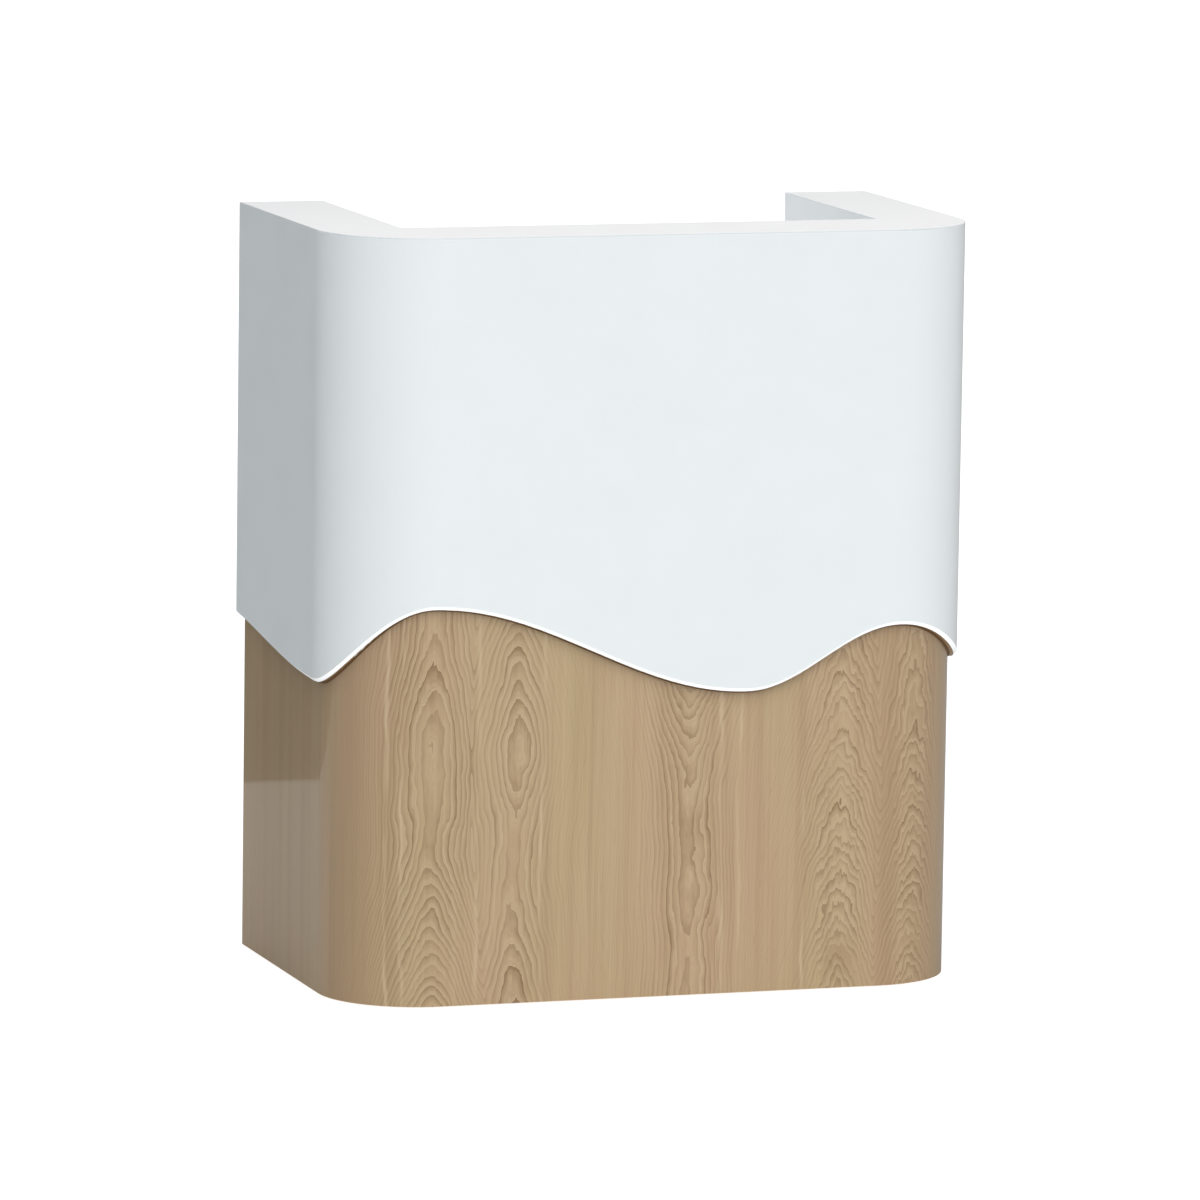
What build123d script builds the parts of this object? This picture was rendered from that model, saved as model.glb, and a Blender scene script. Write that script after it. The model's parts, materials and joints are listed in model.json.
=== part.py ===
"""Compact checkout counter.

A U-shaped counter with rounded front corners.  Its outside is two bent skins: a
wood-faced skin over the full height, and a white lacquered shell laid over it that
ends in a wave.  Plywood formers inside the hollow walls hold the skins' shape, white
liners close the walls towards the staff, and a ledge closes them at the top.  Between
the liners stand a worktop, two drawers on telescopic runners, and a cupboard with two
doors on butt hinges.

Frame: a customer stands on the -Y side and has +X to the right, the staff stand on
the +Y side, Z is up.  Origin: on the floor, in the middle of the footprint.
Millimetres.
"""
from build123d import *
import math
import os

# ---------------------------------------------------------------- driving dimensions
WIDTH = 880.0
DEPTH = 500.0
HEIGHT = 1000.0
CORNER_R = 138.0        # front corners, on the white shell's outer face
ARM_W = 115.0           # width of the ledge on each arm
FRONT_W = 140.0         # depth of the ledge along the front

SHELL_T = 12.0          # white shell
SKIN_T = 12.0           # wood-faced skin
BOARD_T = 18.0          # liners, formers and cabinet boards
LEDGE_T = 25.0
WORKTOP_T = 25.0
WORKTOP_Z = 750.0       # top of the worktop
WORKTOP_INSET = 14.0    # worktop's edge behind the arms' ends
GLIDE_T = 2.0
GLIDE_R = 8.0
GLUE = 0.05             # glue line between fixed pieces that meet face to face
EDGE = 1.5              # rounding on the lacquered edges
WAVE_BEVEL = 4.5        # bevel along the wave's outer edge
OVERCUT = 1.0           # how far a cutting shape reaches past what it cuts
TINY = 1e-4             # tolerance for telling edges apart

PLINTH_H = 80.0         # underside of the cupboard floor
KICK_SETBACK = 45.0     # kick board behind the fronts
FRONT_SETBACK = 28.0    # faces of drawers and doors behind the arms' ends
FRONT_GAP = 3.0         # gap round each drawer front and door
DRAWER_ROW_H = 150.0    # from the worktop's underside to the cupboard's rail
SHELF_Z = 330.0         # top of the shelf as fitted
SHELF_GAP = 1.0
SHELF_SETBACK = 25.0
FORMER_Z = (300.0, 640.0)   # undersides of the two formers between base and ledge

CABLE_SPACE = 74.0      # between the front liner and the drawers' backs
DRAWER_BOX_LIFT = 8.0   # drawer box above the cupboard's rail
DRAWER_BOX_CLEAR = 4.5  # drawer box below the cleats and the turned cam
DRAWER_SIDE_T = 12.0
DRAWER_BOTTOM_T = 5.0
GROOVE_D = 5.0          # depth of the grooves that hold a drawer's bottom
BOTTOM_LIFT = 8.0       # drawer bottom above the lower edge of its sides
SLIP = 0.1              # clearance of loose fits, such as a bottom in its groove

RUNNER_T = 12.7         # runner thickness, from cabinet to drawer
RUNNER_H = 45.0
RUNNER_SHEET = 1.2
RUNNER_STEP = 4.0       # how much smaller each nested member is, above and below
RUNNER_END = 2.0        # runners end this far behind the drawer fronts

HINGE_H = 60.0
HINGE_END = 70.0        # hinge's middle from the door's upper and lower edges
LEAF_T = 1.2
LEAF_D = 16.0
KNUCKLE_R = 3.0
PIN_R = 1.3
PIN_HEAD_R = 2.5
PIN_HEAD_T = 1.5
RUNNING = 0.06          # radial clearance of turning fits
KNUCKLE_GAP = 0.3
KNUCKLE_OFF = 0.3       # barrel clear of the liner and of the door's face

PULL_PITCH = 96.0
PULL_BAR = (118.0, 8.0, 9.0)    # length, depth and height of the bar
PULL_STAND = 17.0       # height of the posts under the bar
PULL_POST_R = 4.5
PULL_EDGE = 38.0        # door pull's line from the meeting edge
PULL_ROUND = 2.4        # rounding of the bar's edges
SCREW_R = 2.0
SCREW_HEAD_R = 4.0
SCREW_HEAD_T = 2.4
SCREW_BITE = 9.0        # screw's reach into a pull's post

LOCK_R = 9.0            # lock body through the board
LOCK_BEHIND = 2.0       # lock body's reach behind the board
LOCK_FLANGE_R = 11.5
LOCK_FLANGE_T = 2.0
PLUG_R = 6.0
PLUG_PROUD = 0.5        # plug's face in front of the flange
PLUG_BEHIND = 3.0       # where the plug narrows to its tail, behind the board
KEY_SLOT = (2.0, 8.0, 8.0)  # width, height and depth
LOCK_TAIL = 8.0         # plug's reach behind the board
CAM_L = 27.0            # cam from the plug's axis to its tip
CAM_W = 13.0
CAM_T = 2.0
LOCK_DROP = 18.0        # lock's axis below the board edge that it locks into
CAM_CLEAR = 3.0         # clearance round the cam in the slot that takes it

GROMMET_R = 30.0        # hole in the worktop
GROMMET_WALL = 3.0
GROMMET_RIM = 5.0
GROMMET_RIM_T = 2.0
GROMMET_ROUND = 1.2     # rounding of the rim
GROMMET_LIP = 1.5       # ledge inside the ring that carries the cap
GROMMET_SIDE = 115.0    # hole's middle from the left liner
GROMMET_BACK = 44.0     # hole's middle from the front liner
CAP_CLEAR = 0.3         # gap round the cap
CAP_PROUD = 1.0         # cap's face above the worktop
CAP_ROUND = 0.5
CAP_NOTCH_R = 11.0      # notch in the cap's edge
CABLE_NOTCH = (60.0, 40.0)  # width and depth of the notches in the boards below
KICK_HOLE_R = 20.0      # where the cables leave through the kick board

PEG_R = 2.5             # shelf pegs
PEG_L = 17.0
PEG_PITCH = 32.0
PEG_ROWS = 5
PEG_COLLAR_R = 4.0
PEG_COLLAR_T = 0.8
CLEAT = 18.0            # square battens under the worktop
CLEAT_SCREW_END = 54.0  # outermost cleat screws from the front liner and the fronts
CLEAT_SCREW_BITE = 12.5 # depth of the screw holes in the worktop

CATCH = (40.0, 18.0, 13.0)  # magnetic catch: width, depth and height
CATCH_X = 110.0         # catches' middles from the doors' meeting line
STRIKE = (26.0, 1.2, 11.0)  # steel plate on the door, facing the catch
CATCH_GAP = 0.3         # between catch and plate

# The wave's turning points: distance along the shell's outer face from the middle of
# the front, and height above the floor.  Between two of them the edge is a half cosine.
WAVE_OVERRUN = 118.0    # the last turning points lie this far behind the arms' ends
SIDE_START = WIDTH / 2 - CORNER_R + CORNER_R * math.pi / 2
WAVE_END = SIDE_START + DEPTH - CORNER_R + WAVE_OVERRUN
WAVE_TURNS = (
    (-WAVE_END, 455.0),
    (-SIDE_START, 413.0),
    (-316.0, 521.0),
    (110.0, 401.0),
    (320.0, 482.0),
    (SIDE_START, 418.0),
    (WAVE_END, 460.0),
)
WAVE_STEP = 20.0        # spacing of the points that carry the wave's cutting surface

# ------------------------------------------------------------------- derived places
BACK = DEPTH / 2
FACE = -DEPTH / 2
WELL_X = WIDTH / 2 - ARM_W              # liners' inner faces
WELL_Y = FACE + FRONT_W                 # front liner's inner face
LINER_BACK = BACK - BOARD_T             # liners end against the end panels
BASE = GLIDE_T
LEDGE_Z = HEIGHT - LEDGE_T
WORKTOP_UNDER = WORKTOP_Z - WORKTOP_T
RAIL_TOP = WORKTOP_UNDER - DRAWER_ROW_H + BOARD_T
RAIL_UNDER = RAIL_TOP - BOARD_T
FRONT_Y = BACK - FRONT_SETBACK          # outer faces of drawers and doors
FRONT_BACK = FRONT_Y - BOARD_T          # their inner faces
FLOOR_TOP = PLINTH_H + BOARD_T
SPLIT_Z = (RAIL_TOP + RAIL_UNDER) / 2   # drawers above this height, doors below
DOOR_LOW = PLINTH_H + FRONT_GAP
DOOR_HIGH = SPLIT_Z - FRONT_GAP / 2
DRAWER_LOW = SPLIT_Z + FRONT_GAP / 2
DRAWER_HIGH = WORKTOP_UNDER - FRONT_GAP
BOX_LOW = RAIL_TOP + DRAWER_BOX_LIFT
BOX_HIGH = WORKTOP_UNDER - max(CLEAT, LOCK_DROP + CAM_W / 2) - DRAWER_BOX_CLEAR
BOX_BACK = WELL_Y + CABLE_SPACE
HINGE_X = WELL_X - KNUCKLE_R - KNUCKLE_OFF
HINGE_Y = FRONT_Y + KNUCKLE_R + KNUCKLE_OFF
DRAWER_LOCK_Z = WORKTOP_UNDER - LOCK_DROP
DOOR_LOCK_Z = RAIL_UNDER - LOCK_DROP
LOCK_END = FRONT_BACK - LOCK_TAIL
SIDES = {"left": -1, "right": 1}        # -X and +X


# -------------------------------------------------------------------- basic shapes
def block(x, y, z):
    """A box from its (low, high) pairs, given in either order."""
    (x0, x1), (y0, y1), (z0, z1) = (sorted(pair) for pair in (x, y, z))
    middle = Pos((x0 + x1) / 2, (y0 + y1) / 2, (z0 + z1) / 2)
    return middle * Box(x1 - x0, y1 - y0, z1 - z0)


def upright(x, y, radius, z):
    """A vertical cylinder between the heights z = (low, high)."""
    return Pos(x, y, (z[0] + z[1]) / 2) * Cylinder(radius, z[1] - z[0])


def along_y(x, z, radius, y):
    """A cylinder parallel to Y between y = (low, high)."""
    return Pos(x, (y[0] + y[1]) / 2, z) * Rot(90, 0, 0) * Cylinder(radius, y[1] - y[0])


def along_x(y, z, radius, x):
    """A cylinder parallel to X between x = (low, high)."""
    low, high = sorted(x)
    return Pos((low + high) / 2, y, z) * Rot(0, 90, 0) * Cylinder(radius, high - low)


def eased(solid, edges, radius=EDGE):
    return fillet(edges, radius) if edges else solid


def edges_at_y(solid, y):
    return [e for e in solid.edges() if all(abs(v.Y - y) < TINY for v in e.vertices())]


def runs_along(edge, axis):
    """True for a straight edge parallel to this axis."""
    return edge.geom_type == GeomType.LINE and edge.tangent_at(0.5).cross(axis.direction).length < TINY


def front_board(x, z, y=(FRONT_BACK, FRONT_Y)):
    """A drawer front or door: a board whose outer edges are eased."""
    board = block(x, y, z)
    return eased(board, edges_at_y(board, y[1]), EDGE / 2)


# ------------------------------------------------------------------ the outer walls
def plan(inset, back=BACK):
    """The counter's plan, square at the back, moved in by inset from the outer face."""
    front = FACE + inset
    outline = Pos(0, (front + back) / 2) * Rectangle(WIDTH - 2 * inset, back - front)
    corners = outline.vertices().sort_by(Axis.Y)[:2]
    return fillet(corners, CORNER_R - inset)


def rectangle(half_width, y):
    return Pos(0, (y[0] + y[1]) / 2) * Rectangle(2 * half_width, y[1] - y[0])


def raised(face, z):
    """A flat face at height 0 as a solid between the heights z = (low, high)."""
    return Pos(0, 0, z[0]) * extrude(face, z[1] - z[0])


def bent_wall(inset, thickness, z):
    inside = plan(inset + thickness, BACK + OVERCUT)
    return raised(plan(inset) - inside, z)


def face_point(distance, inset):
    """The plan point at this distance along the outer face, moved in by inset."""
    side = -1 if distance < 0 else 1
    along = abs(distance)
    straight = WIDTH / 2 - CORNER_R
    turn = min(max(along - straight, 0) / CORNER_R, math.pi / 2)
    reach = CORNER_R - inset
    x = min(along, straight) + reach * math.sin(turn)
    y = FACE + CORNER_R - reach * math.cos(turn) + max(along - SIDE_START, 0)
    return side * x, y


def wave_height(distance):
    """Height of the wave at this distance along the outer face."""
    for (start, z_start), (end, z_end) in zip(WAVE_TURNS, WAVE_TURNS[1:]):
        if start <= distance <= end:
            share = (1 - math.cos(math.pi * (distance - start) / (end - start))) / 2
            return z_start + share * (z_end - z_start)
    raise ValueError(f"the wave doesn't reach {distance}")


def below_wave(outer, inner):
    """The space under a ruled surface that follows the wave; outer and inner are its two
    edges, each as (inset, height above the wave)."""
    reach = SIDE_START + DEPTH - CORNER_R + 2 * SHELL_T
    count = 2 * round(reach / WAVE_STEP)
    places = [-reach + 2 * reach * i / count for i in range(count + 1)]
    share = [i / count for i in range(count + 1)]
    rails = []
    for inset, lift in (outer, inner):
        points = [(*face_point(s, inset), wave_height(s) + lift) for s in places]
        rails.append(Edge.make_spline(points, parameters=share))
    surface = Face.make_surface_from_curves(rails[0], rails[1])
    return extrude(surface, HEIGHT, dir=(0, 0, -1))


def white_shell():
    """The lacquered shell: its lower edge is the wave, bevelled outside."""
    lowest = min(z for _, z in WAVE_TURNS) - 2 * SHELL_T
    wall = bent_wall(0, SHELL_T - GLUE, (lowest, HEIGHT))
    rim = [
        e for e in wall.edges().group_by(Axis.Z)[-1]
        if e.center().Y < LINER_BACK and on_outer_face(e)
    ]
    wall = eased(wall, rim)
    margin = SHELL_T / 2
    wall -= below_wave((-margin, 0), (SHELL_T + margin, 0))
    wall -= below_wave((-margin, WAVE_BEVEL + margin), (WAVE_BEVEL + margin, -margin))
    return wall


def on_outer_face(edge):
    """True for an edge of the top that lies on the outer face, arcs included."""
    point = edge @ 0.5
    dx = max(abs(point.X) - (WIDTH / 2 - CORNER_R), 0)
    dy = max(FACE + CORNER_R - point.Y, 0)
    return abs(math.hypot(dx, dy) - CORNER_R) < TINY


def ledge():
    """The board that closes the walls at the top, flush with shell and liners."""
    top = plan(SHELL_T)
    top -= rectangle(WELL_X + BOARD_T + GLUE, (WELL_Y - BOARD_T - GLUE, LINER_BACK + GLUE))
    top -= rectangle(WELL_X, (WELL_Y, BACK + OVERCUT))
    return raised(top, (LEDGE_Z, HEIGHT))


def former(z):
    """A plywood rib inside the hollow wall, with its underside at z."""
    rib = plan(SHELL_T + SKIN_T + GLUE, LINER_BACK - GLUE)
    rib -= rectangle(WELL_X + BOARD_T + GLUE, (WELL_Y - BOARD_T - GLUE, BACK))
    return raised(rib, (z, z + BOARD_T))


def side_liner(side):
    x = (side * WELL_X, side * (WELL_X + BOARD_T))
    liner = block(x, (WELL_Y, LINER_BACK), (BASE, HEIGHT))
    rows = range(-(PEG_ROWS // 2), PEG_ROWS // 2 + 1)
    heights = [SHELF_Z - BOARD_T - PEG_R + row * PEG_PITCH for row in rows]
    depth = side * (WELL_X + PEG_L / 2)
    for y in peg_lines():
        for z in heights:
            liner -= along_x(y, z, PEG_R, (side * (WELL_X - OVERCUT), depth))
    rim = [
        e for e in liner.edges().group_by(Axis.Z)[-1]
        if abs(e.center().X - side * WELL_X) < TINY
    ]
    return eased(liner, rim)


def front_liner():
    x = WELL_X + BOARD_T
    liner = block((-x, x), (WELL_Y - BOARD_T, WELL_Y - GLUE), (BASE, HEIGHT))
    rim = [e for e in edges_at_y(liner, WELL_Y - GLUE) if e.center().Z > HEIGHT - TINY]
    return eased(liner, rim)


def end_panel(side):
    outer = WIDTH / 2 - SHELL_T - SKIN_T - GLUE
    return block((side * WELL_X, side * outer), (LINER_BACK + GLUE, BACK), (BASE, LEDGE_Z))


# ---------------------------------------------------------------- the inner cabinet
def peg_lines():
    """The two Y places of the shelf's pegs."""
    return (WELL_Y + 2 * PEG_PITCH, FRONT_BACK - SHELF_SETBACK - PEG_PITCH)


def grommet_place():
    return GROMMET_SIDE - WELL_X, WELL_Y + GROMMET_BACK


def cable_notch(z):
    """The notch that lets cables down past the board between z = (low, high)."""
    x = grommet_place()[0]
    half = CABLE_NOTCH[0] / 2
    low, high = z
    y = (WELL_Y - OVERCUT, WELL_Y + CABLE_NOTCH[1])
    return block((x - half, x + half), y, (low - OVERCUT, high + OVERCUT))


def cleat_screw_places():
    """Plan places of the screws that hold the worktop to its cleats."""
    x = WELL_X - CLEAT / 2
    ys = (WELL_Y + CLEAT_SCREW_END, FRONT_BACK - CLEAT_SCREW_END)
    return [(side * x, y) for side in (-1, 1) for y in ys]


def screw_hole(x, y):
    low = WORKTOP_UNDER - CLEAT - OVERCUT
    return upright(x, y, SCREW_R + GLUE, (low, WORKTOP_UNDER + CLEAT_SCREW_BITE))


def worktop():
    edge_y = BACK - WORKTOP_INSET
    top = block((-WELL_X + GLUE, WELL_X - GLUE), (WELL_Y, edge_y), (WORKTOP_UNDER, WORKTOP_Z))
    top = eased(top, [e for e in edges_at_y(top, edge_y) if runs_along(e, Axis.X)])
    through = (WORKTOP_UNDER - OVERCUT, WORKTOP_Z + OVERCUT)
    top -= upright(*grommet_place(), GROMMET_R, through)
    top -= mortise(drawer_middle(-1), WORKTOP_UNDER, -1)
    for place in cleat_screw_places():
        top -= screw_hole(*place)
    return top


def mortise(x, z, side):
    """The slot in a board's underside at z, which a cam that points to this side turns
    up into."""
    swing = math.sqrt(CAM_L**2 - LOCK_DROP**2)
    ends = (x - side * (CAM_W / 2 + CAM_CLEAR), x + side * (swing + CAM_CLEAR))
    y = (LOCK_END - CAM_CLEAR, LOCK_END + CAM_T + CAM_CLEAR)
    return block(ends, y, (z - OVERCUT, z + CAM_L - LOCK_DROP + CAM_CLEAR))


def cupboard_board(z_top):
    """A horizontal cabinet board between the liners."""
    x = WELL_X - GLUE
    return block((-x, x), (WELL_Y, FRONT_BACK - GLUE), (z_top - BOARD_T, z_top))


def rail():
    board = cupboard_board(RAIL_TOP) - cable_notch((RAIL_UNDER, RAIL_TOP))
    return board - mortise(door_lock_x(), RAIL_UNDER, 1)


def cupboard_floor():
    return cupboard_board(FLOOR_TOP) - cable_notch((PLINTH_H, FLOOR_TOP))


def divider():
    half = BOARD_T / 2
    y = (WELL_Y, FRONT_BACK - GLUE)
    return block((-half, half), y, (RAIL_TOP + GLUE, WORKTOP_UNDER - GLUE))


def kick_board():
    y = FRONT_Y - KICK_SETBACK
    x = WELL_X - GLUE
    board = block((-x, x), (y - BOARD_T, y), (BASE, PLINTH_H - GLUE))
    hole_z = (BASE + PLINTH_H) / 2
    through = (y - BOARD_T - OVERCUT, y + OVERCUT)
    return board - along_y(grommet_place()[0], hole_z, KICK_HOLE_R, through)


def shelf():
    x = WELL_X - SHELF_GAP
    y = (WELL_Y + SHELF_GAP, FRONT_BACK - SHELF_SETBACK)
    board = block((-x, x), y, (SHELF_Z - BOARD_T, SHELF_Z))
    board -= cable_notch((SHELF_Z - BOARD_T, SHELF_Z))
    return eased(board, [e for e in edges_at_y(board, y[1]) if runs_along(e, Axis.X)])


def shelf_pegs():
    z = SHELF_Z - BOARD_T - PEG_R
    pegs = []
    for side in (-1, 1):
        inner, outer = side * (WELL_X - PEG_L / 2), side * (WELL_X + PEG_L / 2 - SLIP)
        collar_x = (side * (WELL_X - PEG_COLLAR_T), side * (WELL_X - GLUE))
        for y in peg_lines():
            collar = along_x(y, z, PEG_COLLAR_R, collar_x)
            pegs.append(along_x(y, z, PEG_R - SLIP / 2, (inner, outer)) + collar)
    return Compound(pegs)


def worktop_cleats():
    battens = []
    z = (WORKTOP_UNDER - CLEAT, WORKTOP_UNDER - GLUE)
    for side in (-1, 1):
        x = (side * (WELL_X - CLEAT), side * (WELL_X - GLUE))
        batten = block(x, (WELL_Y + CLEAT, FRONT_BACK - CLEAT), z)
        for place in cleat_screw_places():
            batten -= screw_hole(*place)
        battens.append(batten)
    x = WELL_X - GLUE
    wall_batten = block((-x, x), (WELL_Y, WELL_Y + CLEAT - GLUE), z)
    wall_batten -= divider_space()
    wall_batten -= upright(*grommet_place(), GROMMET_R + SLIP, z)
    battens += wall_batten.solids()
    return Compound(battens)


def divider_space():
    half = BOARD_T / 2 + GLUE
    return block((-half, half), (WELL_Y - OVERCUT, BACK), (RAIL_TOP, WORKTOP_UNDER))


def cleat_screws():
    low = WORKTOP_UNDER - CLEAT
    screws = []
    for x, y in cleat_screw_places():
        shank = upright(x, y, SCREW_R, (low, WORKTOP_UNDER + CLEAT_SCREW_BITE - OVERCUT))
        head = upright(x, y, SCREW_HEAD_R, (low - SCREW_HEAD_T, low))
        screws.append(shank + head)
    return Compound(screws)


def grommet_ring():
    x, y = grommet_place()
    ring = upright(x, y, GROMMET_R - SLIP, (WORKTOP_UNDER, WORKTOP_Z))
    ring += upright(x, y, GROMMET_R + GROMMET_RIM, (WORKTOP_Z, WORKTOP_Z + GROMMET_RIM_T))
    ring = fillet(ring.edges().group_by(Axis.Z)[-1], GROMMET_ROUND)
    bore = GROMMET_R - GROMMET_WALL
    high = WORKTOP_Z + GROMMET_RIM_T + OVERCUT
    ring -= upright(x, y, bore - GROMMET_LIP, (WORKTOP_UNDER - OVERCUT, high))
    ring -= upright(x, y, bore, (WORKTOP_Z - GROMMET_RIM_T, high))
    return ring


def grommet_cap():
    x, y = grommet_place()
    radius = GROMMET_R - GROMMET_WALL - CAP_CLEAR
    low, high = WORKTOP_Z - GROMMET_RIM_T + SLIP, WORKTOP_Z + CAP_PROUD
    cap = upright(x, y, radius, (low, high))
    cap = fillet(cap.edges().group_by(Axis.Z)[-1], CAP_ROUND)
    return cap - upright(x, y - radius, CAP_NOTCH_R, (low - OVERCUT, high + OVERCUT))


def glide_places():
    """Plan places of the glides under the base former and the kick board."""
    arm = WIDTH / 2 - ARM_W / 2
    wall = FACE + FRONT_W / 2
    kick = FRONT_Y - KICK_SETBACK - BOARD_T / 2
    places = [(side * arm, y) for side in (-1, 1) for y in (LINER_BACK - 3 * GLIDE_R, 0)]
    places += [(side * x, wall) for side in (-1, 1) for x in (WIDTH / 2 - ARM_W, ARM_W)]
    return places + [(0, kick)]


def base_glides():
    glides = []
    for x, y in glide_places():
        disc = upright(x, y, GLIDE_R, (0, GLIDE_T))
        glides.append(fillet(disc.edges().group_by(Axis.Z)[0], GLIDE_T / 3))
    return Compound(glides)


# ------------------------------------------------------------------------- drawers
def drawer_span(side):
    """X of the drawer's opening: liner's face, then divider's face."""
    return side * WELL_X, side * BOARD_T / 2


def drawer_middle(side):
    return side * WELL_X / 2


def box_span(side):
    """X of the drawer box's outer faces: by the liner, then by the divider."""
    outer, inner = drawer_span(side)
    return outer - side * RUNNER_T, inner + side * RUNNER_T


def drawer_bottom_space(side, slack):
    """The drawer's bottom with its tongues, larger by slack all round."""
    outer, inner = box_span(side)
    reach = DRAWER_SIDE_T - GROOVE_D - slack
    x = (outer - side * reach, inner + side * reach)
    y = (BOX_BACK + reach, FRONT_BACK - reach)
    low = BOX_LOW + BOTTOM_LIFT
    return block(x, y, (low - slack, low + DRAWER_BOTTOM_T + slack))


def pull_holes(x, z):
    """Clearance holes behind a drawer's pull."""
    through = (FRONT_BACK - DRAWER_SIDE_T - OVERCUT, FRONT_Y + OVERCUT)
    places = (x - PULL_PITCH / 2, x + PULL_PITCH / 2)
    holes = [along_y(place, z, SCREW_R + SLIP, through) for place in places]
    return holes[0] + holes[1]


def pull_z():
    return (BOX_LOW + BOX_HIGH) / 2 - DRAWER_BOX_LIFT


def drawer_front(side):
    outer = side * (WELL_X - FRONT_GAP)
    board = front_board((outer, side * FRONT_GAP / 2), (DRAWER_LOW, DRAWER_HIGH))
    board -= pull_holes(drawer_middle(side), pull_z())
    if side < 0:
        board -= lock_hole(drawer_middle(side), DRAWER_LOCK_Z)
    return board


def drawer_boards(side):
    """The boards that stand round a drawer box, by name."""
    outer, inner = box_span(side)
    z = (BOX_LOW, BOX_HIGH)
    y = (BOX_BACK, FRONT_BACK)
    wide = (outer - side * (DRAWER_SIDE_T + GLUE), inner + side * (DRAWER_SIDE_T + GLUE))
    groove = drawer_bottom_space(side, SLIP)
    middle = drawer_middle(side)
    sides = [
        block((outer, outer - side * DRAWER_SIDE_T), y, z) - groove,
        block((inner, inner + side * DRAWER_SIDE_T), y, z) - groove,
    ]
    return {
        "sides": Compound(sides),
        "box_front": block(wide, (FRONT_BACK - DRAWER_SIDE_T, FRONT_BACK - GLUE), z)
        - groove - pull_holes(middle, pull_z()),
        "box_back": block(wide, (BOX_BACK, BOX_BACK + DRAWER_SIDE_T), z) - groove,
    }


def runner_pair(side, member):
    """A drawer's two runner members: 0 on the cabinet, 1 between, 2 on the drawer."""
    half = RUNNER_H / 2 - member * RUNNER_STEP
    sheet = RUNNER_SHEET
    web = (0, (RUNNER_T - sheet) / 2, RUNNER_T - sheet)[member]
    lips = (
        (0, RUNNER_T - 2 * sheet),
        (2 * sheet, RUNNER_T - 2 * sheet),
        (RUNNER_T / 2 + sheet, RUNNER_T),
    )[member]
    z = (BOX_LOW + BOX_HIGH) / 2
    y = (BOX_BACK, FRONT_BACK - RUNNER_END)
    parts = []
    for face, inward in zip(drawer_span(side), (-side, side)):
        def across(u, face=face, inward=inward):
            return face + inward * u
        profile = block((across(web), across(web + sheet)), y, (z - half, z + half))
        for low in (z - half, z + half - sheet):
            profile += block((across(lips[0]), across(lips[1])), y, (low, low + sheet))
        parts.append(profile)
    return parts


# --------------------------------------------------------------------------- doors
def door_x(side):
    """X of a door's hinge edge, then of its meeting edge."""
    return side * (WELL_X - FRONT_GAP), side * FRONT_GAP / 2


def door_pull_x(side):
    return door_x(side)[1] + side * PULL_EDGE


def door_pull_z():
    return DOOR_HIGH - HINGE_END - PULL_BAR[0] / 2


def door_lock_x():
    return door_pull_x(1)


def door(side):
    board = front_board(door_x(side), (DOOR_LOW, DOOR_HIGH))
    for dz in (-PULL_PITCH / 2, PULL_PITCH / 2):
        place = (door_pull_x(side), door_pull_z() + dz)
        board -= along_y(*place, SCREW_R + SLIP, (FRONT_BACK - OVERCUT, FRONT_Y + OVERCUT))
    if side > 0:
        board -= lock_hole(door_lock_x(), DOOR_LOCK_Z)
    return board


def hinge_middles():
    return DOOR_LOW + HINGE_END, DOOR_HIGH - HINGE_END


def hinge_leaves(side, on_door):
    """The leaves of a door's two hinges, on the door or on the liner."""
    third = HINGE_H / 3
    axis_x = side * HINGE_X
    leaf_inner = side * (WELL_X - FRONT_GAP if on_door else WELL_X - LEAF_T)
    plate_x = (leaf_inner, leaf_inner + side * LEAF_T)
    parts = []
    for middle in hinge_middles():
        ends = (middle - HINGE_H / 2, middle + HINGE_H / 2)
        inner = (middle - third / 2, middle + third / 2)
        knuckles = [inner] if on_door else [
            (ends[0], inner[0] - KNUCKLE_GAP), (inner[1] + KNUCKLE_GAP, ends[1])
        ]
        leaf = block(plate_x, (FRONT_Y - LEAF_D, FRONT_Y), ends)
        for knuckle in knuckles:
            leaf += block(plate_x, (FRONT_Y - OVERCUT, HINGE_Y), knuckle)
            leaf += upright(axis_x, HINGE_Y, KNUCKLE_R, knuckle)
        through = (ends[0] - OVERCUT, ends[1] + OVERCUT)
        leaf -= upright(axis_x, HINGE_Y, PIN_R + RUNNING, through)
        parts.append(leaf)
    return parts


def hinge_pins():
    """The pins of all the hinges, with a head at each end."""
    pins = []
    for side in (-1, 1):
        for middle in hinge_middles():
            low, high = middle - HINGE_H / 2, middle + HINGE_H / 2
            x = side * HINGE_X
            pin = upright(x, HINGE_Y, PIN_R, (low - PIN_HEAD_T, high + PIN_HEAD_T))
            pin += upright(x, HINGE_Y, PIN_HEAD_R, (low - PIN_HEAD_T, low - GLUE))
            pin += upright(x, HINGE_Y, PIN_HEAD_R, (high + GLUE, high + PIN_HEAD_T))
            pins.append(pin)
    return pins


# ------------------------------------------------------- pulls, catches and locks
def catch(side):
    """A magnetic catch under the rail, behind a door's free corner."""
    width, depth, height = CATCH
    x = side * CATCH_X
    front = FRONT_BACK - STRIKE[1] - CATCH_GAP
    z = (RAIL_UNDER - height, RAIL_UNDER - GLUE)
    body = block((x - width / 2, x + width / 2), (front - depth, front), z)
    return chamfer(edges_at_y(body, front), EDGE / 2)


def strike(side):
    """The steel plate on a door's back that the catch holds."""
    width, thickness, height = STRIKE
    x = side * CATCH_X
    z = RAIL_UNDER - CATCH[2] / 2
    y = (FRONT_BACK - thickness, FRONT_BACK - GLUE)
    plate = block((x - width / 2, x + width / 2), y, (z - height / 2, z + height / 2))
    return fillet([e for e in plate.edges() if runs_along(e, Axis.Y)], EDGE)


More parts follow.
